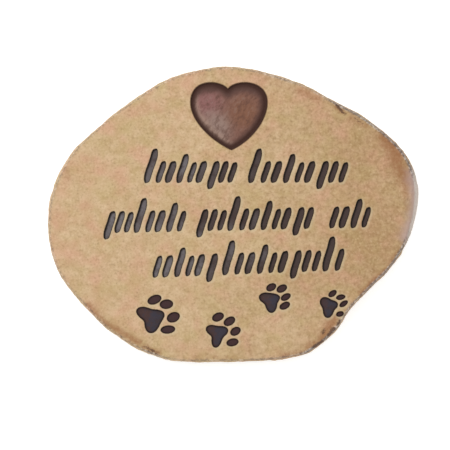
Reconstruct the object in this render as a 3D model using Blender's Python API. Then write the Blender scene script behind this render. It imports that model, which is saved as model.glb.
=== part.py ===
"""Pet memorial stone: a cast slab that lies on its flat back.

Its upper face is carved with a pillowed heart, three rows of pen-like strokes and four paw
prints that grow smaller towards the right. Metres, +Z up, origin under the middle of the slab.
"""

import math

import bmesh
import bpy
from mathutils import Vector
from mathutils.geometry import interpolate_bezier

# The slab
STONE_LENGTH = 0.292
STONE_BREADTH = 0.2328
STONE_THICKNESS = 0.025
WIDEST_HEIGHT = 0.010
EDGE_WIDTH = 0.0022
RIGHT_EDGE_WIDTH = 0.0062
FOOT_ROUND = 0.0022

# The heart
HEART_WIDTH = 0.0608
HEART_GROOVE_DEPTH = 0.0034
HEART_CROWN_DEPTH = 0.0006
HEART_WALL_LEAN = 0.0006

# The strokes
STROKE_HEIGHT = 0.0172
STROKE_WIDTH = 0.0055
STROKE_GAP = 0.0022
STROKE_DEPTH = 0.0020
STROKE_SLANT = math.radians(13)
NIB_ANGLE = math.radians(28)

# The paw prints, left to right
PAW_WIDTHS = (0.0355, 0.0295, 0.0265, 0.0245)
PAW_DEPTH = 0.0018

# How the strokes and paw prints are cut
WALL_LEAN = 0.0007
CUTTER_RISE = 0.0004

# Smoothness, in points
RIM_STEPS = 7
HEART_STEPS = 11
STROKE_STEPS = 7
TOE_STEPS = 14
PAD_STEPS = 30
# and in degrees round the slab's two edges, from their lowest ring up
FOOT_TURNS = (0, 35, 65)
ROLL_TURNS = (0, 30, 52, 68, 80, 90)

# Knots of the slab's rim, as shares of half its length and half its breadth, anticlockwise
# from the bulge on the right. The slab is scaled afterwards to its exact length and breadth.
RIM_KNOTS = (
    (1.000, 0.098),
    (0.930, 0.407),
    (0.719, 0.651),
    (0.541, 0.773),
    (0.365, 0.888),
    (0.011, 1.000),
    (-0.305, 0.939),
    (-0.589, 0.732),
    (-0.738, 0.578),
    (-0.870, 0.415),
    (-0.967, 0.176),
    (-0.998, -0.095),
    (-0.940, -0.393),
    (-0.784, -0.644),
    (-0.638, -0.814),
    (-0.392, -0.973),
    (-0.097, -1.000),
    (0.362, -0.958),
    (0.538, -0.814),
    (0.642, -0.631),
    (0.897, -0.285),
)

# Bulge of the right-hand side, where the edge rolls over more widely
RIGHT_BULGE_ANGLE = math.radians(3)
RIGHT_BULGE_SPREAD = math.radians(15)

# Heart outline: knots and handles in units of its width, from the cleft round to the right
HEART_CURVES = (
    ((-0.013, 0.361), (0.098, 0.492), (0.502, 0.479), (0.501, 0.180)),
    ((0.501, 0.180), (0.502, -0.041), (0.307, -0.315), (0.034, -0.439)),
    ((0.034, -0.439), (-0.214, -0.328), (-0.508, -0.067), (-0.499, 0.193)),
    ((-0.499, 0.193), (-0.488, 0.498), (-0.124, 0.479), (-0.013, 0.361)),
)
HEART_PLACE = (-0.022, 0.661)
HEART_FLOOR_SHARES = (1.0, 0.95, 0.86, 0.72, 0.52, 0.26)

# Rows of strokes: height of the row's middle and its tilt, then where each group begins and
# ends and the beat that it starts on, as shares of half the breadth and half the length
STROKE_ROWS = (
    (0.286, math.radians(0.0), ((-0.462, 0.014, 0), (0.097, 0.610, 0))),
    (-0.035, math.radians(1.2), ((-0.684, -0.260, 6), (-0.186, 0.426, 6), (0.526, 0.732, 1))),
    (-0.333, math.radians(2.2), ((-0.424, -0.092, 1), (-0.045, 0.590, 0))),
)
# One beat of the rhythm: share of the height, lift, share of the width, share of the gap after
STROKE_BEATS = (
    (1.60, 0.28, 1.12, 0.90),
    (1.00, 0.00, 0.95, 0.85),
    (1.00, 0.00, 1.12, 1.50),
    (1.35, 0.16, 1.05, 0.90),
    (0.94, -0.02, 0.88, 0.80),
    (1.00, 0.00, 1.10, 1.50),
    (1.30, -0.14, 1.10, 0.90),
    (1.00, 0.00, 1.00, 0.80),
    (0.94, -0.02, 0.92, 1.50),
)
STROKE_WAVE = 0.022

# Place of each paw print, as shares of half the length and half the breadth
PAW_PLACES = (
    (-0.437, -0.701),
    (-0.086, -0.806),
    (0.204, -0.587),
    (0.513, -0.628),
)
# The rest is in units of the paw's width. Pads: middle, radius of the round core, and then the
# direction, reach and tightness of each of the three lobes.
PAW_PADS = (
    (
        (0.063, 0.025),
        0.170,
        ((math.radians(157), 0.260, 6.9), (math.radians(22), 0.062, 5.5), (math.radians(-109), 0.195, 4.0)),
    ),
    (
        (0.041, 0.034),
        0.166,
        ((math.radians(158), 0.192, 5.0), (math.radians(20), 0.100, 4.3), (math.radians(-104), 0.243, 6.9)),
    ),
    (
        (0.009, 0.078),
        0.166,
        ((math.radians(169), 0.205, 4.2), (math.radians(11), 0.095, 5.1), (math.radians(-89), 0.250, 4.3)),
    ),
    (
        (0.030, 0.050),
        0.160,
        ((math.radians(139), 0.200, 2.9), (math.radians(14), 0.118, 3.7), (math.radians(-101), 0.225, 3.9)),
    ),
)
# Toes: middle, half sizes and tilt
PAW_TOES = (
    (
        ((0.062, 0.414), (0.164, 0.099), math.radians(22)),
        ((0.325, 0.314), (0.150, 0.106), math.radians(6)),
        ((0.478, 0.025), (0.151, 0.111), math.radians(24)),
        ((0.358, -0.246), (0.164, 0.092), math.radians(6)),
    ),
    (
        ((0.026, 0.452), (0.166, 0.114), math.radians(24)),
        ((0.330, 0.338), (0.166, 0.112), math.radians(30)),
        ((0.490, 0.072), (0.149, 0.108), math.radians(31)),
        ((0.412, -0.222), (0.165, 0.105), math.radians(13)),
    ),
    (
        ((0.006, 0.420), (0.158, 0.110), math.radians(28)),
        ((0.320, 0.382), (0.166, 0.112), math.radians(28)),
        ((0.436, 0.132), (0.160, 0.098), math.radians(29)),
        ((0.408, -0.124), (0.168, 0.105), math.radians(28)),
    ),
    (
        ((0.128, 0.448), (0.152, 0.096), math.radians(36)),
        ((0.392, 0.332), (0.152, 0.088), math.radians(12)),
        ((0.486, 0.124), (0.158, 0.084), math.radians(34)),
        ((0.368, -0.206), (0.128, 0.088), math.radians(15)),
    ),
)

STONE_COLOUR = (0.62, 0.42, 0.24, 1.0)


def clear_scene():
    for obj in list(bpy.data.objects):
        bpy.data.objects.remove(obj)


def new_collection(name):
    collection = bpy.data.collections.new(name)
    bpy.context.scene.collection.children.link(collection)
    return collection


def add_loft(bm, rings):
    """Closed body through a stack of closed rings that have the same number of points."""
    layers = [[bm.verts.new(point) for point in ring] for ring in rings]
    for lower, upper in zip(layers, layers[1:]):
        for i in range(len(lower)):
            j = (i + 1) % len(lower)
            bm.faces.new((lower[i], lower[j], upper[j], upper[i]))
    bm.faces.new(list(reversed(layers[0])))
    bm.faces.new(layers[-1])


def finish_mesh(name, bm, collection):
    """Makes the mesh's faces point outwards and puts it in the collection as an object."""
    bmesh.ops.recalc_face_normals(bm, faces=bm.faces)
    mesh = bpy.data.meshes.new(name)
    bm.to_mesh(mesh)
    bm.free()
    obj = bpy.data.objects.new(name, mesh)
    collection.objects.link(obj)
    return obj


def rim_outline():
    """Rim of the slab at its widest, as a smooth closed curve through the knots."""
    knots = [Vector(knot) for knot in RIM_KNOTS]
    points = []
    for i, knot in enumerate(knots):
        before, after = knots[i - 1], knots[(i + 1) % len(knots)]
        beyond = knots[(i + 2) % len(knots)]
        reach = (after - knot).length / 3
        leaving = knot + (after - before).normalized() * reach
        arriving = after - (beyond - knot).normalized() * reach
        points += interpolate_bezier(knot, leaving, arriving, after, RIM_STEPS + 1)[:-1]
    low = [min(point[axis] for point in points) for axis in (0, 1)]
    high = [max(point[axis] for point in points) for axis in (0, 1)]
    sizes = (STONE_LENGTH, STONE_BREADTH)
    return [
        Vector(
            (point[axis] - (low[axis] + high[axis]) / 2) / (high[axis] - low[axis]) * sizes[axis]
            for axis in (0, 1)
        )
        for point in points
    ]


def inward_directions(outline):
    """Unit vector into an anticlockwise outline at each of its points."""
    directions = []
    for i, before in enumerate(outline[-1:] + outline[:-1]):
        along = outline[(i + 1) % len(outline)] - before
        directions.append(Vector((-along.y, along.x)).normalized())
    return directions


def edge_width_at(point):
    """How far the top edge rolls inwards there: widest on the bulge to the right."""
    angle = math.atan2(point.y / STONE_BREADTH, point.x / STONE_LENGTH)
    offset = (angle - RIGHT_BULGE_ANGLE) / RIGHT_BULGE_SPREAD
    return EDGE_WIDTH + (RIGHT_EDGE_WIDTH - EDGE_WIDTH) * math.exp(-offset * offset)


def stone_body(collection):
    """The plain slab: a flat back, a small round at its foot and an elliptic roll to the face."""
    outline = rim_outline()
    inward = inward_directions(outline)
    widths = [edge_width_at(point) for point in outline]
    foot_turns = [math.radians(angle) for angle in FOOT_TURNS]
    roll_turns = [math.radians(angle) for angle in ROLL_TURNS]
    rings = []
    for turn in foot_turns:
        inset = FOOT_ROUND * (1 - math.sin(turn))
        height = FOOT_ROUND * (1 - math.cos(turn))
        rings.append([(*(p + d * inset), height) for p, d in zip(outline, inward)])
    for turn in roll_turns:
        height = WIDEST_HEIGHT + (STONE_THICKNESS - WIDEST_HEIGHT) * math.sin(turn)
        rings.append(
            [
                (*(p + d * width * (1 - math.cos(turn))), height)
                for p, d, width in zip(outline, inward, widths)
            ]
        )
    bm = bmesh.new()
    add_loft(bm, rings)
    return finish_mesh("stone", bm, collection)


def on_face(share_x, share_y):
    """Place on the face given as shares of half the length and half the breadth."""
    return Vector((share_x * STONE_LENGTH / 2, share_y * STONE_BREADTH / 2))


def turned(point, angle):
    cosine, sine = math.cos(angle), math.sin(angle)
    return Vector((point.x * cosine - point.y * sine, point.x * sine + point.y * cosine))


def pocket_rings(outline_at, depth):
    """Two rings of a cutter with a leaning wall: one above the face, one at the pocket's floor.

    outline_at(grow) gives the outline at the face when grow is 0, and one that is larger by
    grow otherwise.
    """
    levels = ((CUTTER_RISE, CUTTER_RISE * WALL_LEAN / depth), (-depth, -WALL_LEAN))
    return [
        [(point.x, point.y, STONE_THICKNESS + level) for point in outline_at(grow)]
        for level, grow in levels
    ]


def heart_outline():
    """Heart outline about its own middle, at its real size."""
    points = []
    for knots in HEART_CURVES:
        curve = [Vector(knot) * HEART_WIDTH for knot in knots]
        points += interpolate_bezier(*curve, HEART_STEPS + 1)[:-1]
    return points


def heart_cutter(collection):
    """Pocket with a steep wall, whose floor swells from the groove to a low crown."""
    place = on_face(*HEART_PLACE)
    outline = heart_outline()
    swell = HEART_GROOVE_DEPTH - HEART_CROWN_DEPTH
    foot = 1 - 2 * HEART_WALL_LEAN / HEART_WIDTH
    rise = 1 + (1 - foot) * CUTTER_RISE / HEART_GROOVE_DEPTH
    levels = [(rise, CUTTER_RISE)]
    for share in HEART_FLOOR_SHARES:
        levels.append((foot * share, swell * math.sqrt(1 - share**3) - HEART_GROOVE_DEPTH))
    bm = bmesh.new()
    rings = []
    for scale, level in levels:
        ring = [place + point * scale for point in outline]
        rings.append([(point.x, point.y, STONE_THICKNESS + level) for point in ring])
    add_loft(bm, rings)
    return finish_mesh("heart_cutter", bm, collection)


def stroke_outline(place, height, width, lean, grow):
    """Outline of one stroke of a broad nib: full, leaning, faintly waved, with slanting ends."""
    half_height = height / 2 + grow
    half_width = width / 2 + grow
    sides = ([], [])
    for step in range(STROKE_STEPS):
        along = -math.cos(math.pi * (step + 0.5) / STROKE_STEPS)
        middle = STROKE_WAVE * height * math.sin(math.pi * along)
        reach = half_width * (1 - along * along) ** 0.28
        for side, sign in zip(sides, (1, -1)):
            across = middle + sign * reach
            point = Vector((across, along * half_height + across * math.tan(NIB_ANGLE)))
            side.append(place + turned(point, lean))
    return sides[0] + sides[1][::-1]


def strokes_in_group(first_x, last_x, first_beat):
    """Beats that fit between two places, each with the place of its middle."""
    beats = []
    x = first_x
    while True:
        beat = STROKE_BEATS[(first_beat + len(beats)) % len(STROKE_BEATS)]
        width, gap = beat[2] * STROKE_WIDTH, beat[3] * STROKE_GAP
        if beats and x + width > last_x:
            break
        beats.append((x + width / 2, beat))
        x += width + gap
    end_x, end_beat = beats[-1]
    spare = last_x - end_x - end_beat[2] * STROKE_WIDTH / 2
    share = spare / max(1, len(beats) - 1)
    return [(place + i * share, beat) for i, (place, beat) in enumerate(beats)]


def stroke_rows():
    """Place, height, width and lean of every stroke, row by row."""
    strokes = []
    for row_height, tilt, groups in STROKE_ROWS:
        for start, end, first_beat in groups:
            first, last = on_face(start, row_height), on_face(end, row_height)
            for x, (height, lift, width, _) in strokes_in_group(first.x, last.x, first_beat):
                place = Vector((x, first.y + x * math.tan(tilt) + lift * STROKE_HEIGHT))
                size = (STROKE_HEIGHT * height, STROKE_WIDTH * width)
                strokes.append((place, *size, tilt - STROKE_SLANT))
    return strokes


def stroke_cutter(collection):
    bm = bmesh.new()
    for stroke in stroke_rows():
        add_loft(bm, pocket_rings(lambda grow: stroke_outline(*stroke, grow), STROKE_DEPTH))
    return finish_mesh("stroke_cutter", bm, collection)


def toe_outline(place, half_sizes, tilt, grow):
    """Oval of one toe."""
    points = []
    for step in range(TOE_STEPS):
        angle = 2 * math.pi * step / TOE_STEPS
        point = Vector(
            (
                (half_sizes[0] + grow) * math.cos(angle),
                (half_sizes[1] + grow) * math.sin(angle),
            )
        )
        points.append(place + turned(point, tilt))
    return points


def pad_outline(place, width, core, lobes, grow):
    """Outline of a pad: a round core that swells smoothly into three lobes."""
    points = []
    for step in range(PAD_STEPS):
        angle = 2 * math.pi * step / PAD_STEPS
        reach = core
        for lobe_angle, lobe_reach, tightness in lobes:
            reach += lobe_reach * math.exp(tightness * (math.cos(angle - lobe_angle) - 1))
        radius = reach * width + grow
        points.append(place + Vector((math.cos(angle), math.sin(angle))) * radius)
    return points


def paw_cutter(collection):
    bm = bmesh.new()
    for share, width, (pad_middle, core, lobes), toes in zip(
        PAW_PLACES, PAW_WIDTHS, PAW_PADS, PAW_TOES
    ):
        place = on_face(*share)
        pad = (place + Vector(pad_middle) * width, width, core, lobes)
        add_loft(bm, pocket_rings(lambda grow: pad_outline(*pad, grow), PAW_DEPTH))
        for middle, half_sizes, tilt in toes:
            toe = (place + Vector(middle) * width, Vector(half_sizes) * width, tilt)
            add_loft(bm, pocket_rings(lambda grow: toe_outline(*toe, grow), PAW_DEPTH))
    return finish_mesh("paw_cutter", bm, collection)


def carve(stone, cutter):
    """Cuts the cutter's pockets out of the slab and keeps the cutter as a hidden helper."""
    cutter.hide_render = True
    cutter.display_type = "WIRE"
    cut = stone.modifiers.new(cutter.name, "BOOLEAN")
    cut.operation = "DIFFERENCE"
    cut.solver = "EXACT"
    cut.object = cutter


def cast_stone():
    material = bpy.data.materials.new("cast_stone")
    material.use_nodes = True
    shader = material.node_tree.nodes["Principled BSDF"]
    shader.inputs["Base Color"].default_value = STONE_COLOUR
    shader.inputs["Roughness"].default_value = 0.9
    shader.inputs["Metallic"].default_value = 0.0
    return material


def main():
    clear_scene()
    parts = new_collection("pet_memorial_stone")
    cutters = new_collection("cutters")
    stone = stone_body(parts)
    stone.data.materials.append(cast_stone())
    for cutter in (heart_cutter(cutters), stroke_cutter(cutters), paw_cutter(cutters)):
        carve(stone, cutter)


main()
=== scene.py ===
import math

import bpy
import numpy as np
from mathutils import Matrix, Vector
from mathutils.geometry import delaunay_2d_cdt


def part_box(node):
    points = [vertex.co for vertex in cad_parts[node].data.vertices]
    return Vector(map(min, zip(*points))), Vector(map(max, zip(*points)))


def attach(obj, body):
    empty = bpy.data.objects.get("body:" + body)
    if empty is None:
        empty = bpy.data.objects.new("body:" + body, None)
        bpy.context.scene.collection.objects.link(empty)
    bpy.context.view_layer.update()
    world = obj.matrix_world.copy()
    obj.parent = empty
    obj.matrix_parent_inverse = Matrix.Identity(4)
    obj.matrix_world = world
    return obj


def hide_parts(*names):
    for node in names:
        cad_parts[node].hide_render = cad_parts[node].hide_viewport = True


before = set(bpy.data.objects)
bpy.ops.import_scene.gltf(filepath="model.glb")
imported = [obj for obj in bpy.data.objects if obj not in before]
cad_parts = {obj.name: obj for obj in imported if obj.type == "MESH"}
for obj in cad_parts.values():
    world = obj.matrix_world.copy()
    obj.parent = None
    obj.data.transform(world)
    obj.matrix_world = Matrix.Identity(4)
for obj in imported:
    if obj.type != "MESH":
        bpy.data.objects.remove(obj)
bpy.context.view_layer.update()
slabLow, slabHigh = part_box("stone")
slabSize = slabHigh - slabLow
halfFace = np.array([slabSize.x, slabSize.y]) / 2
faceHeight = slabHigh.z
mm = 0.001
inkReach = 4 * mm  # how far from its outline the depth of a stroke or paw print is followed
heartReach = 8 * mm  # and that of the heart
leastReach = 0.1 * mm  # the least half size to which an outline shrinks
pairsAtOnce = 4000000  # pairs of a point and an outline's side that are measured together
print("frame loaded, slab is", [round(size / mm, 1) for size in slabSize], "mm")


# small helpers for arrays, meshes, colours and nodes

def unit(vectors):
    # the same directions, each with a length of one
    return vectors / np.linalg.norm(vectors, axis=-1, keepdims=True)


def turned(points, angle):
    # turned anticlockwise about the origin: x is x cos - y sin, and y is x sin + y cos
    cosine, sine = math.cos(angle), math.sin(angle)
    return points @ np.array([[cosine, sine], [-sine, cosine]])


def bezier(first, leaving, arriving, last, steps):
    # cubic Bezier: its weights are (1-t)^3, 3t(1-t)^2, 3t^2(1-t) and t^3, without the end t = 1
    t = np.linspace(0, 1, steps, endpoint=False)[:, None]
    weights = ((1 - t) ** 3, 3 * t * (1 - t) ** 2, 3 * t * t * (1 - t), t**3)
    ends = (first, leaving, arriving, last)
    curves = [sum(w * end for w, end in zip(weights, corner)) for corner in zip(*ends)]
    return np.concatenate(curves)


def evenly(outline, spacing):
    # the same closed outline with its points a constant distance apart
    closed = np.vstack([outline, outline[:1]])
    travelled = np.concatenate([[0], np.cumsum(np.linalg.norm(np.diff(closed, axis=0), axis=1))])
    stops = np.linspace(0, travelled[-1], round(travelled[-1] / spacing), endpoint=False)
    return np.stack([np.interp(stops, travelled, closed[:, axis]) for axis in (0, 1)], axis=1)


def signedDistance(points, outline):
    # distance to the nearest side of a closed outline, positive inside, where a ray along +X
    # crosses the outline an odd number of times
    found = []
    start, end = outline, np.roll(outline, -1, 0)
    side = end - start
    sideSquared = (side**2).sum(1)
    rise = np.where(side[:, 1] == 0, 1e-12, side[:, 1])  # a level side is never crossed
    for some in np.array_split(points, max(1, len(points) * len(outline) // pairsAtOnce)):
        offset = some[:, None] - start
        share = np.clip((offset * side).sum(2) / sideSquared, 0, 1)
        gap = np.linalg.norm(offset - share[..., None] * side, axis=2).min(1)
        crosses = (some[:, None, 1] < start[:, 1]) != (some[:, None, 1] < end[:, 1])
        crossing = start[:, 0] + offset[..., 1] * side[:, 0] / rise
        inside = (crosses & (some[:, None, 0] < crossing)).sum(1) % 2 == 1
        found.append(np.where(inside, gap, -gap))
    return np.concatenate(found)


def smoothStep(value, low, high):
    # eased from 0 at the low end to 1 at the high end as t^2 (3 - 2t)
    t = np.clip((value - low) / (high - low), 0, 1)
    return t * t * (3 - 2 * t)


def waves(points, shortest, longest, seed, count=48):
    # unevenness with an rms of one: plane waves in random directions, with random lengths
    # between the shortest and the longest, added up
    rng = np.random.default_rng(seed)
    directions = unit(rng.normal(size=(count, points.shape[1])))
    lengths = shortest * (longest / shortest) ** rng.random(count)
    phases = 2 * math.pi * rng.random(count)
    turns = points @ (directions * (2 * math.pi / lengths)[:, None]).T + phases
    return np.cos(turns).sum(1) * math.sqrt(2 / count)


def colour(hexCode):
    # sRGB hex to linear: a value over 12.92 where it is dark, else ((value + 0.055) / 1.055)^2.4
    values = [int(hexCode[i:i + 2], 16) / 255 for i in (1, 3, 5)]
    return [v / 12.92 if v <= 0.04045 else ((v + 0.055) / 1.055) ** 2.4 for v in values] + [1.0]


def addNode(tree, kind, inputs, out=0, **settings):
    # one node with its settings; an input is a plain value or the output that feeds it
    node = tree.nodes.new(kind)
    for name, value in settings.items():
        setattr(node, name, value)
    for slot, value in inputs.items():
        if isinstance(value, bpy.types.NodeSocket):
            tree.links.new(value, node.inputs[slot])
        else:
            node.inputs[slot].default_value = value
    return node.outputs[out]


# the slab's rim, as in the solid: knots as shares of half the length and half the breadth

rim = {
    "knots": (
        (1.000, 0.098), (0.930, 0.407), (0.719, 0.651), (0.541, 0.773), (0.365, 0.888),
        (0.011, 1.000), (-0.305, 0.939), (-0.589, 0.732), (-0.738, 0.578), (-0.870, 0.415),
        (-0.967, 0.176), (-0.998, -0.095), (-0.940, -0.393), (-0.784, -0.644), (-0.638, -0.814),
        (-0.392, -0.973), (-0.097, -1.000), (0.362, -0.958), (0.538, -0.814), (0.642, -0.631),
        (0.897, -0.285),
    ),
    "curveSteps": 40,
    "spacing": 0.95 * mm,
    "widestHeight": 10 * mm,
    "rollWidth": 2.2 * mm,
    "leastRoll": 1.2 * mm,
    "bulgeWidth": 6.2 * mm,
    "bulgeAngle": math.radians(3),
    "bulgeSpread": math.radians(15),
    # shares of the bulge between which its paler look comes in
    "bulgeLook": (0.12, 0.60),
    "footRound": 2.2 * mm,
    # how ragged the edge and the chips are: depth or share, and shortest and longest wave, seed
    "ragged": 0.15 * mm,
    "raggedWaves": (2.5 * mm, 14 * mm, 11),
    "broken": 0.15,
    "brokenWaves": (2.2 * mm, 6 * mm, 12),
    # broken places of the top edge: x and y share, half length along the rim, depth
    "chips": (
        (0.445, -0.905, 6.0 * mm, 1.2 * mm),
        (0.520, -0.810, 5.0 * mm, 1.4 * mm),
        (-0.440, -0.930, 6.0 * mm, 1.2 * mm),
        (-0.620, -0.810, 5.0 * mm, 0.7 * mm),
        (0.580, 0.745, 5.0 * mm, 0.8 * mm),
        (0.765, -0.435, 4.0 * mm, 0.8 * mm),
    ),
}


def rimOutline():
    # smooth closed curve through the knots: each handle is a third of its chord long and points
    # along the line between the knot's neighbours; then scaled to the slab's exact size
    knots = np.array(rim["knots"])
    before, after, beyond = np.roll(knots, 1, 0), np.roll(knots, -1, 0), np.roll(knots, -2, 0)
    reach = np.linalg.norm(after - knots, axis=1, keepdims=True) / 3
    leaving = knots + unit(after - before) * reach
    arriving = after - unit(beyond - knots) * reach
    curve = bezier(knots, leaving, arriving, after, rim["curveSteps"])
    low, high = curve.min(0), curve.max(0)
    return evenly((curve - (low + high) / 2) / (high - low) * 2 * halfFace, rim["spacing"])


def inwardFrom(outline):
    # unit vectors into an anticlockwise outline: its direction of travel, turned left
    along = unit(np.roll(outline, -1, 0) - np.roll(outline, 1, 0))
    return np.stack([-along[:, 1], along[:, 0]], axis=1)


def bulgeShare(points):
    # a bell curve of the direction from the middle, one at the bulge of the right-hand side
    angle = np.arctan2(points[:, 1] / halfFace[1], points[:, 0] / halfFace[0])
    return np.exp(-(((angle - rim["bulgeAngle"]) / rim["bulgeSpread"]) ** 2))


def rollWidths(outline):
    # how far the top edge rolls in: a plain width, the wide bulge, a ragged share and the
    # chips, each a parabola along the rim
    width = rim["rollWidth"] + (rim["bulgeWidth"] - rim["rollWidth"]) * bulgeShare(outline)
    width += rim["ragged"] * waves(outline, *rim["raggedWaves"])
    broken = 1 - rim["broken"] + rim["broken"] * waves(outline, *rim["brokenWaves"])
    for shareX, shareY, halfLength, depth in rim["chips"]:
        away = np.linalg.norm(outline - np.array([shareX, shareY]) * halfFace, axis=1)
        away = np.maximum(0, away - away.min())
        width += depth * broken * np.clip(1 - (away / halfLength) ** 2, 0, 1)
    return np.maximum(width, rim["leastRoll"])


# the heart, in units of its width

heart = {
    "width": 60.8 * mm,
    "place": (-0.022, 0.661),
    "curves": (
        ((-0.013, 0.361), (0.098, 0.492), (0.502, 0.479), (0.501, 0.180)),
        ((0.501, 0.180), (0.502, -0.041), (0.307, -0.315), (0.034, -0.439)),
        ((0.034, -0.439), (-0.214, -0.328), (-0.508, -0.067), (-0.499, 0.193)),
        ((-0.499, 0.193), (-0.488, 0.498), (-0.124, 0.479), (-0.013, 0.361)),
    ),
    "curveSteps": 60,
    "grooveDepth": 3.4 * mm,
    "crownDepth": 0.6 * mm,
    "wall": 1.1 * mm,
    "grooveWidth": 0.9 * mm,
    "spacing": 0.62 * mm,
    # the floor's points start so far inside; rings stand around the outline, and a point of a
    # ring is kept where it has at least this share of the ring's distance from the outline
    "floorSpacing": 0.95 * mm,
    "floorStart": 2.4 * mm,
    "rings": (0.7 * mm, 0.3 * mm, -0.35 * mm, -0.75 * mm, -1.2 * mm, -1.8 * mm),
    "ringKept": 0.9,
    # its paint is darker along its top and its right, a painted shadow, and paler at its lower
    # left, a painted highlight, where points that are moved by these come near the outline
    "shadeShifts": ((3.6 * mm, -0.6 * mm), (0, 5.2 * mm)),
    "highlightShift": (-3.3 * mm, -1.7 * mm),
    # where the paint is rosier and browner, and paler as a painted highlight at the lower left: x
    # and y from the middle, radius
    "rosy": (-0.28, 0.17, 0.24),
    "pale": (-0.17, -0.15, 0.25),
    "brown": (0.20, 0.04, 0.26),
}


def heartOutline():
    # four Bezier curves from the cleft round to the right
    corners = np.array(heart["curves"]).transpose(1, 0, 2)
    outline = bezier(*corners, heart["curveSteps"]) * heart["width"]
    return evenly(outline + np.array(heart["place"]) * halfFace, heart["spacing"])


def heartPatch(points, patch):
    # one at the patch's middle, falling off as exp(-(distance / radius)^2)
    across = (points - np.array(heart["place"]) * halfFace) / heart["width"]
    return np.exp(-((across - patch[:2]) ** 2).sum(1) / patch[2] ** 2)


# the rows of pen strokes

strokes = {
    "height": 17.2 * mm,
    "width": 5.5 * mm,
    "gap": 2.2 * mm,
    "depth": 2.0 * mm,
    "slant": math.radians(13),
    "nibAngle": math.radians(28),
    "wave": 0.022,
    "fullness": 0.28,
    "steps": 22,
    # height of a row's middle, its tilt, and each group's start, end and first beat
    "rows": (
        (0.286, 0.0, ((-0.462, 0.014, 0), (0.097, 0.610, 0))),
        (-0.035, 1.2, ((-0.684, -0.260, 6), (-0.186, 0.426, 6), (0.526, 0.732, 1))),
        (-0.333, 2.2, ((-0.424, -0.092, 1), (-0.045, 0.590, 0))),
    ),
    # each beat's height, lift (in heights), width and the gap after it, as shares
    "beats": (
        (1.60, 0.28, 1.12, 0.90), (1.00, 0.00, 0.95, 0.85), (1.00, 0.00, 1.12, 1.50),
        (1.35, 0.16, 1.05, 0.90), (0.94, -0.02, 0.88, 0.80), (1.00, 0.00, 1.10, 1.50),
        (1.30, -0.14, 1.10, 0.90), (1.00, 0.00, 1.00, 0.80), (0.94, -0.02, 0.92, 1.50),
    ),
}


def strokesInGroup(first, last, beat):
    # beats that fit between two places, spread out so that the last one ends there
    middles, kinds, x = [], [], first
    while True:
        kind = strokes["beats"][(beat + len(kinds)) % len(strokes["beats"])]
        width = kind[2] * strokes["width"]
        if kinds and x + width > last:
            break
        middles.append(x + width / 2)
        kinds.append(kind)
        x += width + kind[3] * strokes["gap"]
    spare = last - middles[-1] - kinds[-1][2] * strokes["width"] / 2
    spread = np.array(middles) + np.linspace(0, spare, len(middles))
    return zip(spread, kinds)


def allStrokes():
    # place, height, width and lean of every stroke
    found = []
    for rowHeight, tilt, groups in strokes["rows"]:
        lean = math.radians(tilt) - strokes["slant"]
        for start, end, beat in groups:
            group = strokesInGroup(start * halfFace[0], end * halfFace[0], beat)
            for x, (height, lift, width, _) in group:
                y = rowHeight * halfFace[1] + x * math.tan(math.radians(tilt))
                place = np.array([x, y + lift * strokes["height"]])
                found.append((place, height * strokes["height"], width * strokes["width"], lean))
    return found


def strokeOutline(place, height, width, lean, grow=0.0):
    # half its width is (1 - a^2)^fullness of the whole at the share a of its half height, about
    # a middle line that waves as sin(pi a); the nib's angle slants it, and then it leans over
    a = -np.cos(math.pi * np.arange(strokes["steps"] + 1) / strokes["steps"])
    middle = strokes["wave"] * height * np.sin(math.pi * a)
    reach = max(width / 2 + grow, leastReach) * (1 - a * a) ** strokes["fullness"]
    across = np.concatenate([(middle + reach)[:-1], (middle - reach)[:0:-1]])
    up = np.concatenate([a[:-1], a[:0:-1]]) * (height / 2 + grow)
    up += across * math.tan(strokes["nibAngle"])
    return place + turned(np.stack([across, up], axis=1), lean)


# the paw prints, left to right, in units of each one's width

paws = {
    "depth": 1.8 * mm,
    "widths": (35.5 * mm, 29.5 * mm, 26.5 * mm, 24.5 * mm),
    "places": ((-0.437, -0.701), (-0.086, -0.806), (0.204, -0.587), (0.513, -0.628)),
    # pads: middle, radius of the core, and each lobe's direction, reach and tightness
    "pads": (
        ((0.063, 0.025), 0.170, ((157, 0.260, 6.9), (22, 0.062, 5.5), (-109, 0.195, 4.0))),
        ((0.041, 0.034), 0.166, ((158, 0.192, 5.0), (20, 0.100, 4.3), (-104, 0.243, 6.9))),
        ((0.009, 0.078), 0.166, ((169, 0.205, 4.2), (11, 0.095, 5.1), (-89, 0.250, 4.3))),
        ((0.030, 0.050), 0.160, ((139, 0.200, 2.9), (14, 0.118, 3.7), (-101, 0.225, 3.9))),
    ),
    # toes: middle, half sizes and tilt
    "toes": (
        (((0.062, 0.414), (0.164, 0.099), 22), ((0.325, 0.314), (0.150, 0.106), 6),
         ((0.478, 0.025), (0.151, 0.111), 24), ((0.358, -0.246), (0.164, 0.092), 6)),
        (((0.026, 0.452), (0.166, 0.114), 24), ((0.330, 0.338), (0.166, 0.112), 30),
         ((0.490, 0.072), (0.149, 0.108), 31), ((0.412, -0.222), (0.165, 0.105), 13)),
        (((0.006, 0.420), (0.158, 0.110), 28), ((0.320, 0.382), (0.166, 0.112), 28),
         ((0.436, 0.132), (0.160, 0.098), 29), ((0.408, -0.124), (0.168, 0.105), 28)),
        (((0.128, 0.448), (0.152, 0.096), 36), ((0.392, 0.332), (0.152, 0.088), 12),
         ((0.486, 0.124), (0.158, 0.084), 34), ((0.368, -0.206), (0.128, 0.088), 15)),
    ),
    "toeSteps": 34,
    "padSteps": 84,
    "floorStart": 2.6 * mm,  # points of a pad's floor start so far inside
}


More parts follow.
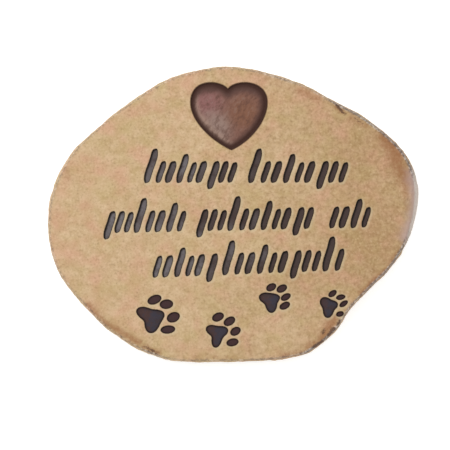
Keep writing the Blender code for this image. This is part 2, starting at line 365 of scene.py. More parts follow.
def toeOutline(place, half, tilt, grow=0.0):
    # an oval: its half sizes times the cosine and the sine, tilted
    angle = 2 * math.pi * np.arange(paws["toeSteps"]) / paws["toeSteps"]
    reach = np.maximum(half + grow, leastReach)
    return place + turned(np.stack([np.cos(angle), np.sin(angle)], axis=1) * reach, tilt)


def padOutline(place, width, core, lobes, grow=0.0):
    # radius at an angle: a round core plus three lobes, each exp(tightness (cos(away) - 1))
    angle = 2 * math.pi * np.arange(paws["padSteps"]) / paws["padSteps"]
    reach = np.full(len(angle), core)
    for direction, size, tightness in lobes:
        reach += size * np.exp(tightness * (np.cos(angle - math.radians(direction)) - 1))
    circle = np.stack([np.cos(angle), np.sin(angle)], axis=1)
    return place + circle * (reach * width + grow)[:, None]


def allPads():
    # each pad as a function of how far its outline grows
    found = []
    for share, width, (middle, core, lobes) in zip(paws["places"], paws["widths"], paws["pads"]):
        pad = (share * halfFace + np.array(middle) * width, width, core, lobes)
        found.append(lambda grow=0.0, pad=pad: padOutline(*pad, grow))
    return found


def allToes():
    # each toe as a function of how far its outline grows
    found = []
    for share, width, toes in zip(paws["places"], paws["widths"], paws["toes"]):
        for middle, half, tilt in toes:
            place = share * halfFace + np.array(middle) * width
            toe = (place, np.array(half) * width, math.radians(tilt))
            found.append(lambda grow=0.0, toe=toe: toeOutline(*toe, grow))
    return found


def padWest(points):
    # how far west of its paw's middle a point lies, as a share of the paw's width
    found = np.zeros(len(points))
    for share, width, (middle, _, _) in zip(paws["places"], paws["widths"], paws["pads"]):
        away = share * halfFace + np.array(middle) * width - points
        near = np.linalg.norm(away, axis=1) < width
        found[near] = away[near, 0] / width
    return found


# the face: every outline is a line of the mesh, so that each pocket has a crisp edge

face = {
    # rings of points inside the lip, then a grid that starts a share of its spacing further in;
    # both keep clear of the carving
    "marginRings": (0.9 * mm, 2.0 * mm, 3.2 * mm),
    "spacing": 1.34 * mm,
    "gridGap": 0.7,
    "clearance": 1.35 * mm,
    # height, and shortest and longest wave, seed and number of waves
    "swell": 0.20 * mm,
    "swellWaves": (22 * mm, 90 * mm, 1),
    "grain": 0.045 * mm,
    "grainWaves": (3.2 * mm, 8 * mm, 2, 64),
    "crease": 0.28 * mm,  # depth under the strongest umber stain
    # a pocket's wall runs from so far outside its outline to so far inside
    "lip": 0.35 * mm,
    "wall": 0.95 * mm,
    # rings of points around and in each stroke, pad and toe, by how far its outline grows
    "rings": (0.7 * mm, 0.3 * mm, -0.35 * mm, -0.8 * mm, -1.3 * mm, -1.9 * mm),
    # points are moved by this for the painted shade, so that the walls at the upper left are
    # painted darker
    "shadeShift": (-0.7 * mm, 0.7 * mm),
}


def hexPoints(low, high, spacing):
    # rows of points, every other row moved by half a step
    xs = np.arange(low[0], high[0], spacing)
    ys = np.arange(low[1], high[1], spacing * math.sqrt(3) / 2)
    grid = np.stack(np.meshgrid(xs, ys), axis=2)
    grid[1::2, :, 0] += spacing / 2
    return grid.reshape(-1, 2)


def nearShape(points, outline, margin):
    # which points lie in the outline's box, widened by the margin
    return ((points > outline.min(0) - margin) & (points < outline.max(0) + margin)).all(1)


def deepest(points, outlines):
    # signed distance to whichever outline a point is deepest in, or nearest to
    found = np.full(len(points), -inkReach)
    for outline in outlines:
        near = nearShape(points, outline, inkReach)
        found[near] = np.maximum(found[near], signedDistance(points[near], outline))
    return found


def triangulated(boundary, inner, lines):
    # Delaunay triangles inside the boundary, through all the inner points and along the lines;
    # the boundary's points come first
    points = [Vector(point) for point in np.vstack([boundary, inner]).tolist()]
    ring = list(range(len(boundary)))
    insideOnly, tolerance = 1, 1e-7
    corners, _, faces, *_ = delaunay_2d_cdt(points, lines, [ring], insideOnly, tolerance)
    return np.array([tuple(corner) for corner in corners]), np.array(faces)


def pocket(depthInside, depth):
    # a pocket's wall: an S-curve from the lip, just outside the outline, to the floor
    return -depth * smoothStep(depthInside, -face["lip"], face["wall"])


def softDepth(points, outline):
    # like the distance to the outline, but smooth everywhere inside it: the inverse root of
    # half the outline's summed length over distance cubed
    step = np.linalg.norm(np.roll(outline, -1, 0) - outline, axis=1)
    away = np.linalg.norm(points[:, None] - outline, axis=2)
    return (0.5 * (step / away**3).sum(1)) ** -0.5


def heartLevel(points, depthInside, outline):
    # a steep wall, a groove along its foot, and a pillow that swells from the groove to the
    # crown as the root of 1 - (1 - q)^3, where q runs from 0 at the groove to 1 at the crown
    level = -heart["grooveDepth"] * smoothStep(depthInside, -face["lip"], heart["wall"])
    start = heart["wall"] + heart["grooveWidth"] / 2
    inside = depthInside > start
    soft = softDepth(points[inside], outline)
    q = np.clip((soft - start) / (soft.max() - start), 0, 1)
    swell = (heart["grooveDepth"] - heart["crownDepth"]) * np.sqrt(1 - (1 - q) ** 3)
    level[inside] += swell
    return level


# stains of the maker's wash, each along a short line: its ends as x and y shares, the radius in
# which it fades, and its strength. Rust is reddish, umber is dark and lies in small creases.
stains = {
    "rust": (
        (0.365, 0.830, 0.455, 0.775, 5.0 * mm, 0.60),
        (0.555, 0.740, 0.590, 0.690, 3.5 * mm, 0.80),
        (0.630, 0.650, 0.715, 0.600, 4.0 * mm, 0.60),
        (0.820, 0.520, 0.885, 0.420, 8.5 * mm, 0.95),
        (0.870, 0.380, 0.930, 0.240, 9.0 * mm, 0.85),
        (0.925, 0.170, 0.940, 0.040, 4.5 * mm, 0.50),
        (0.825, -0.372, 0.690, -0.535, 3.6 * mm, 0.85),
        (0.545, -0.700, 0.472, -0.845, 5.0 * mm, 0.85),
        (0.472, -0.845, 0.400, -0.900, 4.0 * mm, 0.70),
        (0.890, -0.240, 0.825, -0.372, 3.6 * mm, 0.55),
        (0.270, -0.955, 0.400, -0.930, 4.0 * mm, 0.60),
        (-0.475, -0.895, -0.400, -0.935, 3.5 * mm, 0.75),
        (-0.776, -0.607, -0.686, -0.729, 3.4 * mm, 0.75),
        (-0.686, -0.729, -0.503, -0.865, 3.6 * mm, 0.80),
        (-0.905, 0.320, -0.880, 0.240, 4.5 * mm, 0.45),
        (-0.200, -0.965, 0.050, -0.970, 3.5 * mm, 0.45),
        (0.950, 0.095, 0.950, 0.085, 2.5 * mm, 0.60),
        (0.200, 0.900, 0.300, 0.860, 3.5 * mm, 0.40),
        (-0.560, 0.700, -0.480, 0.750, 3.5 * mm, 0.30),
    ),
    "umber": (
        (0.540, -0.764, 0.517, -0.812, 2.1 * mm, 1.20),
        (0.488, -0.779, 0.480, -0.796, 1.9 * mm, 1.05),
        (0.482, -0.862, 0.440, -0.890, 2.1 * mm, 1.15),
        (0.571, -0.722, 0.564, -0.736, 1.9 * mm, 1.05),
        (-0.470, -0.893, -0.400, -0.940, 1.9 * mm, 0.80),
        (0.560, 0.735, 0.600, 0.675, 1.9 * mm, 0.95),
        (0.650, 0.650, 0.700, 0.610, 1.9 * mm, 0.75),
        (0.920, 0.110, 0.950, 0.090, 1.9 * mm, 0.70),
    ),
    # where the dark line along the edge is stronger: x and y share, spread, strength
    "alongEdge": (
        (0.430, -0.905, 9 * mm, 0.70),
        (0.530, -0.800, 11 * mm, 0.60),
        (0.640, -0.640, 12 * mm, 0.35),
        (0.760, -0.470, 12 * mm, 0.45),
        (0.880, 0.480, 24 * mm, 0.45),
        (0.970, 0.280, 12 * mm, 0.35),
        (0.590, 0.740, 13 * mm, 0.45),
        (0.710, 0.650, 12 * mm, 0.35),
        (-0.440, -0.950, 8 * mm, 0.40),
        (0.260, 0.950, 14 * mm, 0.20),
        (0.900, -0.280, 18 * mm, 0.50),
        (0.200, -0.990, 14 * mm, 0.15),
        (1.000, 0.040, 18 * mm, -0.55),
    ),
    "edgeStrength": 1.05,
    "edgeInset": 1.4 * mm,
    "edgeFade": 2.9 * mm,
    # how far in from the bulge its edge looks paler
    "paleFade": 9 * mm,
    # the face darkens to the right, by so uneven a share
    "drift": 0.12,
    "driftWaves": (50 * mm, 120 * mm, 51),
}


def stainAt(points, marks):
    # a mark fades as exp(-(d / radius)^2) with the distance d from its line; the strongest counts
    strongest = np.zeros(len(points))
    for *ends, radius, strength in marks:
        start, end = np.array(ends).reshape(2, 2) * halfFace
        along = end - start
        share = np.clip((points - start) @ along / (along @ along), 0, 1)
        away = np.linalg.norm(points - start - share[:, None] * along, axis=1)
        strongest = np.maximum(strongest, strength * np.exp(-((away / radius) ** 2)))
    return strongest


def edgeWash(points, rimDistance):
    # strongest a little in from the widest outline, falling off as exp(-(d / fade)^2), and more
    # or less so at the marked places
    strength = np.full(len(points), stains["edgeStrength"])
    for shareX, shareY, spread, more in stains["alongEdge"]:
        away = np.linalg.norm(points - np.array([shareX, shareY]) * halfFace, axis=1)
        strength += more * np.exp(-((away / spread) ** 2))
    return strength * np.exp(-(((rimDistance - stains["edgeInset"]) / stains["edgeFade"]) ** 2))


print("drawing the outlines")
widest = rimOutline()
inward = inwardFrom(widest)
rollWidth = rollWidths(widest)
lipRing = widest + inward * rollWidth[:, None]
heartLine = heartOutline()
strokeShapes = [lambda grow=0.0, s=stroke: strokeOutline(*s, grow) for stroke in allStrokes()]
padShapes, toeShapes = allPads(), allToes()
strokeLines, padLines, toeLines = (
    [shape() for shape in shapes] for shapes in (strokeShapes, padShapes, toeShapes)
)
inkLines = strokeLines + padLines + toeLines


def facePoints():
    # inner points of the face, and the pairs of them that the mesh keeps joined
    rings, pairs, count = [], [], len(lipRing)
    for outline in [heartLine, *inkLines]:
        ids = count + np.arange(len(outline))
        pairs.append(np.stack([ids, np.roll(ids, -1)], axis=1))
        rings.append(outline)
        count += len(outline)
    for shape in strokeShapes + padShapes + toeShapes:
        rings += [shape(grow) for grow in face["rings"]]
    heartInward = inwardFrom(heartLine)
    heartFloor = hexPoints(heartLine.min(0), heartLine.max(0), heart["floorSpacing"])
    deep = signedDistance(heartFloor, heartLine)
    rings.append(heartFloor[deep > heart["floorStart"]])
    for grow in heart["rings"]:
        ring = heartLine - heartInward * grow
        apart = np.abs(signedDistance(ring, heartLine)) > abs(grow) * heart["ringKept"]
        rings.append(ring[apart])
    plain = [lipRing + inward * inset for inset in face["marginRings"]]
    grid = hexPoints(-halfFace, halfFace, face["spacing"])
    gridStart = face["marginRings"][-1] + face["spacing"] * face["gridGap"]
    grid = grid[signedDistance(grid, lipRing) > gridStart]
    plain = np.vstack([*plain, grid])
    plain = plain[deepest(plain, [heartLine, *inkLines]) < -face["clearance"]]
    padFloors = grid[deepest(grid, padLines) > paws["floorStart"]]
    return np.vstack([*rings, plain, padFloors]), np.vstack(pairs).tolist()


def makeFace():
    # the triangulated face and, for each of its points, the height and what the paint needs
    inner, pairs = facePoints()
    points, triangles = triangulated(lipRing, inner, pairs)
    strokeDepth, padDepth, toeDepth = (
        deepest(points, lines) for lines in (strokeLines, padLines, toeLines)
    )
    pawDepth = np.maximum(padDepth, toeDepth)
    heartDepth = np.full(len(points), -heartReach)
    near = nearShape(points, heartLine, heartReach)
    heartDepth[near] = signedDistance(points[near], heartLine)
    # painted shadow of the heart: darker along its top and its right
    heartShade = np.full(len(points), heartReach)
    for shift in heart["shadeShifts"]:
        moved = signedDistance(points[near] + np.array(shift), heartLine)
        heartShade[near] = np.minimum(heartShade[near], moved)
    # painted highlight of the heart: paler along its lower left
    heartHighlight = np.full(len(points), heartReach)
    heartHighlight[near] = signedDistance(points[near] + np.array(heart["highlightShift"]), heartLine)
    # for the painted shade on the upper left walls of the strokes and paw prints
    inkShade = deepest(points + np.array(face["shadeShift"]), inkLines)
    umber = stainAt(points, stains["umber"])
    height = face["swell"] * waves(points, *face["swellWaves"])
    height += face["grain"] * waves(points, *face["grainWaves"])
    height += pocket(strokeDepth, strokes["depth"]) + pocket(pawDepth, paws["depth"])
    height += heartLevel(points, heartDepth, heartLine) - face["crease"] * umber
    masks = {
        "inkDepth": np.maximum(strokeDepth, pawDepth) / mm,
        "inkShade": inkShade / mm,
        "inkKind": (pawDepth > strokeDepth) * (1.0 + (toeDepth > padDepth)),
        "padWest": padWest(points),
        "heartDepth": heartDepth / mm,
        "heartShade": heartShade / mm,
        "heartHighlight": heartHighlight / mm,
    }
    return np.column_stack([points, faceHeight + height]), triangles, masks


# the side wall: rings from the lip down to the foot

side = {
    "rollTurns": 12,  # rings of points of the rolled edge, the wall and the rounded foot
    "wallRings": 6,
    "footTurns": 5,
    # lumps of the wall, fine and broad, that fade towards its top and its foot
    "rough": 0.20 * mm,
    "fineShare": 0.7,
    "fineWaves": (3 * mm, 16 * mm, 31),
    "broadWaves": (18 * mm, 60 * mm, 32),
    "topFade": 4 * mm,
    "footFade": 2 * mm,
    # heights at which the sprayed tan thins out and at which the stone is bare: on most of the
    # rim, where they waver, and on the bulge
    "thinsAt": (16 * mm, 24.9 * mm),
    "bareAt": (5 * mm, 22.2 * mm),
    "wavers": 0.9 * mm,
    "waverWaves": (28 * mm, 110 * mm, 33),
    # the dark wash runs over the edge and ends between these heights
    "washEnds": 15 * mm,
    "washFull": 24 * mm,
}


def makeSide():
    # a quarter of an ellipse from the lip to the widest ring, a straight wall, and a quarter
    # of a circle into the back; each ring is the widest outline moved inwards and roughened
    roll = np.linspace(math.pi / 2, 0, side["rollTurns"] + 1)[1:]
    foot = np.linspace(0, math.pi / 2, side["footTurns"] + 1)
    inset = [rollWidth * (1 - math.cos(turn)) for turn in roll]
    rollHeight = faceHeight - rim["widestHeight"]
    height = [rim["widestHeight"] + rollHeight * math.sin(turn) for turn in roll]
    for share in np.linspace(0, 1, side["wallRings"] + 1)[1:-1]:
        inset.append(np.zeros(len(widest)))
        height.append(rim["widestHeight"] + (rim["footRound"] - rim["widestHeight"]) * share)
    for turn in foot:
        inset.append(np.full(len(widest), rim["footRound"] * (1 - math.cos(turn))))
        height.append(rim["footRound"] * (1 - math.sin(turn)))
    bulge = smoothStep(bulgeShare(widest), *rim["bulgeLook"])
    ends = (side["thinsAt"], side["bareAt"])
    thinsAt, bareAt = (low + (high - low) * bulge for low, high in ends)
    wavers = side["wavers"] * (1 - bulge) * waves(widest, *side["waverWaves"])
    bare = [smoothStep(thinsAt + wavers - level, 0, thinsAt - bareAt) for level in height]
    rings = []
    for ringInset, ringHeight in zip(inset, height):
        flat = widest + inward * ringInset[:, None]
        ring = np.column_stack([flat, np.full(len(flat), ringHeight)])
        fade = min(1.0, (faceHeight - ringHeight) / side["topFade"])
        fade *= min(1.0, ringHeight / side["footFade"])
        lumps = side["fineShare"] * waves(ring, *side["fineWaves"])
        lumps += waves(ring, *side["broadWaves"])
        ring[:, :2] -= inward * (side["rough"] * fade * lumps)[:, None]
        rings.append(ring)
    return np.array(rings), np.concatenate(bare)


# the back: flat, with shallow float marks that never reach below the floor

back = {
    "spacing": 3.4 * mm,
    "marginRings": (1.6 * mm, 3.6 * mm),
    "gridGap": 0.6,
    "dip": 0.18 * mm,
    "dipWaves": (9 * mm, 45 * mm, 41),
    "rimFade": 4 * mm,
}


def makeBack(boundary):
    # each point lies above the floor by the dip times the waves without their sign
    plain = [boundary + inward * inset for inset in back["marginRings"]]
    grid = hexPoints(-halfFace, halfFace, back["spacing"])
    gridStart = back["marginRings"][-1] + back["spacing"] * back["gridGap"]
    grid = grid[signedDistance(grid, boundary) > gridStart]
    points, triangles = triangulated(boundary, np.vstack([*plain, grid]), [])
    rimFade = smoothStep(signedDistance(points, boundary), 0, back["rimFade"])
    dips = np.abs(waves(points, *back["dipWaves"]))
    return np.column_stack([points, slabLow.z + back["dip"] * rimFade * dips]), triangles


def facingUp(points, triangles):
    # triangles turned so that they run anticlockwise seen from above
    a, b, c = (points[triangles[:, i], :2] for i in range(3))
    area = (b - a)[:, 0] * (c - a)[:, 1] - (b - a)[:, 1] * (c - a)[:, 0]
    return np.where((area > 0)[:, None], triangles, triangles[:, ::-1])


def makeSlab():
    # face, side wall and back share their rings, so the mesh is one closed surface
    topPoints, topTriangles, masks = makeFace()
    print("face has", len(topPoints), "points and", len(topTriangles), "triangles")
    rings, bareRings = makeSide()
    backPoints, backTriangles = makeBack(rings[-1][:, :2])
    around = len(widest)
    walls = rings[:-1].reshape(-1, 3)
    points = np.vstack([topPoints, walls, backPoints])
    wallStart = len(topPoints)
    backStart = wallStart + len(walls)
    ringIds = [np.arange(around)]
    ringIds += [wallStart + row * around + np.arange(around) for row in range(len(rings) - 1)]
    ringIds += [backStart + np.arange(around)]
    upper, lower = np.concatenate(ringIds[:-1]), np.concatenate(ringIds[1:])
    nextUpper = np.concatenate([np.roll(ids, -1) for ids in ringIds[:-1]])
    nextLower = np.concatenate([np.roll(ids, -1) for ids in ringIds[1:]])
    quads = np.stack([upper, lower, nextLower, nextUpper], axis=1)
    faceTriangles = facingUp(points, topTriangles)
    underTriangles = facingUp(points, backTriangles + backStart)[:, ::-1]
    faces = [*faceTriangles.tolist(), *quads.tolist(), *underTriangles.tolist()]
    mesh = bpy.data.meshes.new("memorialStoneSlab")
    mesh.from_pydata(points.tolist(), [], faces)
    mesh.shade_smooth()

    # below the face there is no ink and no heart
    rest = len(points) - len(topPoints)
    away = {"inkDepth": -inkReach, "inkShade": -inkReach, "heartDepth": -heartReach}
    masks = {
        name: np.concatenate([values, np.full(rest, away.get(name, 0.0) / mm)])
        for name, values in masks.items()
    }
    flat = points[:, :2]
    bareParts = [np.zeros(len(topPoints)), bareRings[:len(walls)], np.ones(len(backPoints))]
    masks["bareStone"] = np.concatenate(bareParts)
    rimDistance = signedDistance(flat, widest)
    washed = smoothStep(points[:, 2], side["washEnds"], side["washFull"])
    masks["rimWash"] = edgeWash(flat, rimDistance) * washed
    masks["bulge"] = bulgeShare(flat)
    paler = smoothStep(masks["bulge"], *rim["bulgeLook"])
    masks["paleEdge"] = paler * np.exp(-((rimDistance / stains["paleFade"]) ** 2))
    masks["rust"] = stainAt(flat, stains["rust"]) * washed
    masks["umber"] = stainAt(flat, stains["umber"]) * washed
    uneven = stains["drift"] * waves(flat, *stains["driftWaves"])
    masks["drift"] = flat[:, 0] / halfFace[0] + uneven
    for patch in ("rosy", "pale", "brown"):
        masks[patch] = heartPatch(flat, heart[patch])
    for name, values in masks.items():
        layer = mesh.attributes.new(name, "FLOAT", "POINT")
        layer.data.foreach_set("value", values.astype(np.float32))
    slab = bpy.data.objects.new("memorialStoneSlab", mesh)
    bpy.context.scene.collection.objects.link(slab)
    return slab, list(masks)


# cast stone: cement and sand from a mould, sprayed tan and washed brown on its face, which
# gives a matte, sandy, softly mottled surface; the carving is filled in by brush

castStone = {
    "tan": "#B39772",
    "cream": "#C5AA88",
    "pink": "#C29079",
    "olive": "#A99661",
    "shade": "#A27E57",
    "dapple": "#8B6C46",
    "grainDark": "#6E5534",
    "grainLight": "#E0CBAA",
    "rust": "#8D6140",
    "umber": "#5A4335",
    "rimWash": "#605753",
    "rimPale": "#CAC5C0",
    "bare": "#998B7C",
    "bareDark": "#796B5E",
    "barePale": "#BDB1A8",
    "barePink": "#A8928C",
    # paler rim round the carving: rubbed paint, and a painted highlight where it widens to the
    # lower right
    "rubbedAndHighlight": "#BDB091",
}
brushPaint = {
    "ink": "#3B2B26",
    "inkThin": "#6D686A",
    # near black paint along the edges, and painted shade on the upper left walls
    "inkEdgeAndShade": "#1B1312",
    "pad": "#343039",
    "padBrown": "#442F2B",
    "toe": "#3D2829",
    "pawEdge": "#1D0D0D",
    "heart": "#745145",
    "heartRosy": "#845A59",
    "heartPale": "#8A746A",
    # pale paint streaks, and the painted highlight at the heart's lower left
    "heartHighlight": "#9C8173",
    # painted highlight along the heart's lower left
    "heartBrown": "#744D37",
    "heartStreak": "#563A30",
    # painted shadow along the heart's top and right
    "heartPaintedShade": "#4A322C",
    # dark paint in the heart's groove and its grain, and painted shade in the groove
    "heartLine": "#3A2119",
}
# noise by name: size of a blotch, detail, roughness, and for streaks how much narrower and
# longer they are and which way they lean
clouds = {
    "mottle": (7.5 * mm, 3.0, 0.60, (1, 1), 0),
    "patch": (15 * mm, 1.5, 0.45, (1, 1), 0),
    "otherPatch": (13 * mm, 1.5, 0.45, (1, 1), 0),
    "dapple": (3.6 * mm, 2.0, 0.55, (1, 1), 0),
    "grain": (1.8 * mm, 2.0, 0.60, (1, 1), 0),
    "crumb": (2.4 * mm, 4.0, 0.70, (1, 1), 0),
    "wobble": (1.6 * mm, 2.0, 0.55, (1, 1), 0),
    "brushing": (3.4 * mm, 3.0, 0.60, (0.65, 1.5), math.radians(-35)),
    "sand": (0.6 * mm, 3.0, 0.70, (1, 1), 0),
}
# coats of colour, each over the ones before it: the mask that steers it, the noise added to that
# and how much of it, from and to where the sum counts, how strong the coat gets, its colour
stoneCoats = (
    (None, "mottle", 1.0, 0.30, 0.70, 0.90, "cream"),
    ("drift", "mottle", 0.5, 0.15, 1.40, 0.55, "shade"),
    (None, "patch", 1.0, 0.38, 0.78, 0.52, "pink"),
    (None, "otherPatch", 1.0, 0.38, 0.78, 0.40, "olive"),
    ("drift", "dapple", 5.0, 2.00, 4.90, 0.60, "dapple"),
    (None, "grain", 1.0, 0.50, 0.22, 0.36, "grainDark"),
    (None, "grain", 1.0, 0.53, 0.76, 0.20, "grainLight"),
    ("rust", "crumb", 1.0, 0.62, 1.65, 0.92, "rust"),
    ("paleEdge", "mottle", 0.5, 0.35, 1.25, 0.85, "barePink"),
    ("rimWash", "crumb", -2.8, -0.50, 0.40, 0.58, "rimPale"),
    ("rimWash", "crumb", 2.8, 2.05, 3.25, 0.90, "rimWash"),
    ("umber", "crumb", 2.0, 1.45, 2.00, 0.90, "umber"),
)
bareCoats = (
    ("bulge", "mottle", 0.3, 0.40, 0.90, 1.0, "barePale"),
    (None, "crumb", 1.0, 0.40, 0.70, 0.35, "bareDark"),
    (None, "grain", 1.0, 0.47, 0.28, 0.20, "grainDark"),
)
inkCoats = (
    ("drift", "patch", 1.0, -0.25, 0.70, 0.90, "ink"),
    (None, "dapple", 1.0, 0.50, 0.30, 0.45, "ink"),
    # painted shade: the upper left walls of each stroke and paw print darker
    ("inkShade", "wobble", 0.8, 1.90, 0.40, 0.95, "inkEdgeAndShade"),
    ("inkDepth", "wobble", 0.6, 1.20, 0.35, 0.85, "inkEdgeAndShade"),
)
padCoats = (
    ("padWest", "dapple", 0.6, 0.28, 0.56, 0.9, "padBrown"),
    (None, "mottle", 1.0, 0.48, 0.66, 0.6, "ink"),
    ("inkDepth", "wobble", 0.6, 2.50, 0.60, 0.90, "pawEdge"),
)
toeCoats = (
    (None, "dapple", 1.0, 0.45, 0.65, 0.45, "ink"),
    ("inkDepth", "wobble", 0.6, 2.00, 0.50, 0.85, "pawEdge"),
)
heartCoats = (
    ("rosy", "mottle", 0.5, 0.35, 1.25, 0.70, "heartRosy"),
    # painted highlight: a paler patch at the heart's lower left
    ("pale", "mottle", 0.5, 0.40, 1.20, 0.85, "heartPale"),
    ("brown", "mottle", 0.5, 0.40, 1.25, 0.70, "heartBrown"),
    # painted highlight along the heart's lower left
    ("heartHighlight", "mottle", 3.0, 6.80, 2.20, 0.62, "heartHighlight"),
    (None, "brushing", 1.0, 0.46, 0.70, 0.60, "heartStreak"),
    (None, "brushing", 1.0, 0.48, 0.28, 0.28, "heartPale"),
    (None, "grain", 1.0, 0.48, 0.28, 0.25, "heartLine"),
    # painted shadow along the heart's top and right
    ("heartShade", "mottle", 4.0, 8.20, 1.60, 0.90, "heartPaintedShade"),
    # dark paint along the heart's groove, and painted shade in the groove
    ("heartDepth", "wobble", 0.8, 6.40, 1.80, 1.0, "heartLine"),
)
# the brushed paint is smoother than the sandy stone, from so far outside to so far inside an
# outline in mm; the crumb counts so much more in the relief than the sand
finish = {
    "stone": 0.92,
    "paint": 0.66,
    "paintFrom": -0.2,
    "paintFull": 0.2,
    "specular": 0.18,
    "sandDepth": 0.18 * mm,
    "sandStrength": 0.55,
    "crumbShare": 1.4,
    "noiseShift": 0.37,
}


def makeCastStone(maskNames):
    # the noises lie so far apart that none follows another; each coat is mixed over the ground
    material = bpy.data.materials.new("castStoneSprayedTan")
    material.use_nodes = True
    tree = material.node_tree
    shader = tree.nodes["Principled BSDF"]
    place = addNode(tree, "ShaderNodeTexCoord", {}, "Object")
    mask = {
        name: addNode(tree, "ShaderNodeAttribute", {}, "Fac", attribute_name=name)
        for name in maskNames
    }
    noise = {}
    for number, (name, (size, detail, rough, stretch, lean)) in enumerate(clouds.items()):
        moved = addNode(tree, "ShaderNodeMapping", {
            "Vector": place,
            "Location": [finish["noiseShift"] * (number + 1)] * 3,
            "Rotation": (0, 0, lean),
            "Scale": (*stretch, 1),
        }, vector_type="TEXTURE")
        noise[name] = addNode(tree, "ShaderNodeTexNoise", {
            "Vector": moved,
            "Scale": 1 / size,
            "Detail": detail,
            "Roughness": rough,
        })
    tone = {name: colour(code) for name, code in (castStone | brushPaint).items()}

    def steered(steer, cloud, amount, low, high, most):
        # how strong a coat is: its mask plus so much noise, or the one that it has, eased from
        # nothing at the low end to the most at the high end
        value = noise[cloud] if cloud else mask[steer]
        if cloud and steer:
            parts = {0: value, 1: amount, 2: mask[steer]}
            value = addNode(tree, "ShaderNodeMath", parts, operation="MULTIPLY_ADD")
        ends = {0: value, 1: low, 2: high, 4: most}
        return addNode(tree, "ShaderNodeMapRange", ends, interpolation_type="SMOOTHSTEP")

    def painted(ground, coats):
        # all the coats over the ground, by the Mix node's sockets for colours
        for *steer, tint in coats:
            layers = {0: steered(*steer), 6: ground, 7: tone[tint]}
            ground = addNode(tree, "ShaderNodeMix", layers, 2, data_type="RGBA")
        return ground

    tone["bareTone"] = painted(tone["bare"], bareCoats)
    tone["inkTone"] = painted(tone["inkThin"], inkCoats)
    tone["padTone"] = painted(tone["pad"], padCoats)
    tone["toeTone"] = painted(tone["toe"], toeCoats)
    tone["heartTone"] = painted(tone["heart"], heartCoats)
    tone["brushed"] = painted(tone["inkTone"], (
        ("inkKind", None, 0, 0.4, 0.6, 1.0, "padTone"),
        ("inkKind", None, 0, 1.4, 1.6, 1.0, "toeTone"),
    ))
    surface = painted(painted(tone["tan"], stoneCoats), (
        ("bareStone", "dapple", 0.6, 0.40, 1.20, 1.0, "bareTone"),
        # paler rim round the carving: rubbed paint, and a painted highlight where it widens to
        # the lower right
        ("inkShade", "dapple", 1.6, -1.20, 0.90, 0.40, "rubbedAndHighlight"),
        ("inkDepth", "wobble", 0.56, -0.05, 0.55, 1.0, "brushed"),
        ("heartDepth", "wobble", 0.56, -0.35, 0.90, 1.0, "heartTone"),
    ))
    tree.links.new(surface, shader.inputs["Base Color"])

    depths = {0: mask["inkDepth"], 1: mask["heartDepth"]}
    carved = addNode(tree, "ShaderNodeMath", depths, operation="MAXIMUM")
    rough = addNode(tree, "ShaderNodeMapRange", {
        0: carved,
        1: finish["paintFrom"],
        2: finish["paintFull"],
        3: finish["stone"],
        4: finish["paint"],
    })
    tree.links.new(rough, shader.inputs["Roughness"])
    shader.inputs["Specular IOR Level"].default_value = finish["specular"]

    # sandy relief
    grains = {0: noise["crumb"], 1: finish["crumbShare"], 2: noise["sand"]}
    relief = addNode(tree, "ShaderNodeMath", grains, operation="MULTIPLY_ADD")
    bump = addNode(tree, "ShaderNodeBump", {
        "Height": relief,
        "Strength": finish["sandStrength"],
        "Distance": finish["sandDepth"],
    })
    tree.links.new(bump, shader.inputs["Normal"])
    return material


slab, slabMasks = makeSlab()
print("slab made,", sum(len(p.vertices) - 2 for p in slab.data.polygons), "triangles")
slab.data.materials.append(makeCastStone(slabMasks))
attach(slab, "root")
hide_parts("stone")


# studio: pale floor, soft light from the upper left, camera straight above

studio = {
    "floorSize": 6.0,
    "floorColour": "#F4F4F3",
    "floorGlow": 0.45,
    "floorRoughness": 0.95,
    "floorGap": 0.1 * mm,
    "skyStrength": 0.90,
    "keyPlace": (-0.72, 0.82, 1.70),
    "keySize": 1.2,
    "keyPower": 18.0,
    "lookAt": (-6.3 * mm, -8.3 * mm),
    "viewWidth": 355.1 * mm,
    "distance": 2.5,
    "sensorWidth": 36,
    "clipEnd": 20,
}


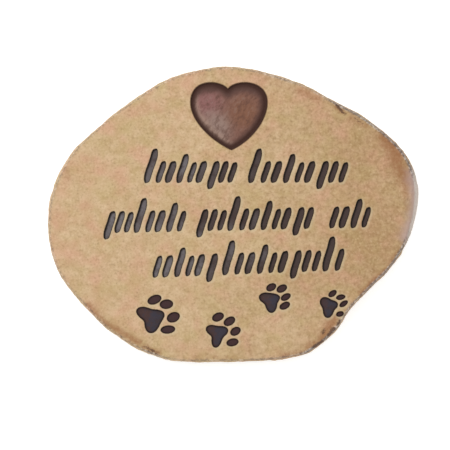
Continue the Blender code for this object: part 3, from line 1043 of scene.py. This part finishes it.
def makeFloor():
    # pale paper that glows a little, so that it stays near white around the slab's shadow
    mesh = bpy.data.meshes.new("studioFloor")
    half = studio["floorSize"] / 2
    low = slabLow.z - studio["floorGap"]
    corners = [(x * half, y * half, low) for x, y in ((-1, -1), (1, -1), (1, 1), (-1, 1))]
    mesh.from_pydata(corners, [], [(0, 1, 2, 3)])
    floor = bpy.data.objects.new("studioFloor", mesh)
    bpy.context.scene.collection.objects.link(floor)
    material = bpy.data.materials.new("paperSweep")
    material.use_nodes = True
    shader = material.node_tree.nodes["Principled BSDF"]
    shader.inputs["Base Color"].default_value = colour(studio["floorColour"])
    shader.inputs["Roughness"].default_value = studio["floorRoughness"]
    shader.inputs["Emission Color"].default_value = colour(studio["floorColour"])
    shader.inputs["Emission Strength"].default_value = studio["floorGlow"]
    mesh.materials.append(material)


def makeLights():
    # an even white sky, and a square lamp that is turned to the middle of the slab
    world = bpy.data.worlds.new("studioSky")
    world.use_nodes = True
    sky = world.node_tree.nodes["Background"]
    sky.inputs["Color"].default_value = (1, 1, 1, 1)
    sky.inputs["Strength"].default_value = studio["skyStrength"]
    bpy.context.scene.world = world
    lamp = bpy.data.lights.new("keyLight", "AREA")
    lamp.size = studio["keySize"]
    lamp.energy = studio["keyPower"]
    key = bpy.data.objects.new("keyLight", lamp)
    key.location = studio["keyPlace"]
    key.rotation_euler = (-Vector(studio["keyPlace"])).to_track_quat("-Z", "Y").to_euler()
    bpy.context.scene.collection.objects.link(key)


def makeCamera():
    # the view is as wide as stated where the slab is widest
    lens = bpy.data.cameras.new("camera")
    lens.sensor_width = studio["sensorWidth"]
    lens.lens = studio["sensorWidth"] * studio["distance"] / studio["viewWidth"]
    lens.clip_end = studio["clipEnd"]
    camera = bpy.data.objects.new("camera", lens)
    camera.location = (*studio["lookAt"], rim["widestHeight"] + studio["distance"])
    bpy.context.scene.collection.objects.link(camera)
    bpy.context.scene.camera = camera


makeFloor()
makeLights()
makeCamera()
bpy.context.scene.view_settings.view_transform = "Standard"
print("studio made")
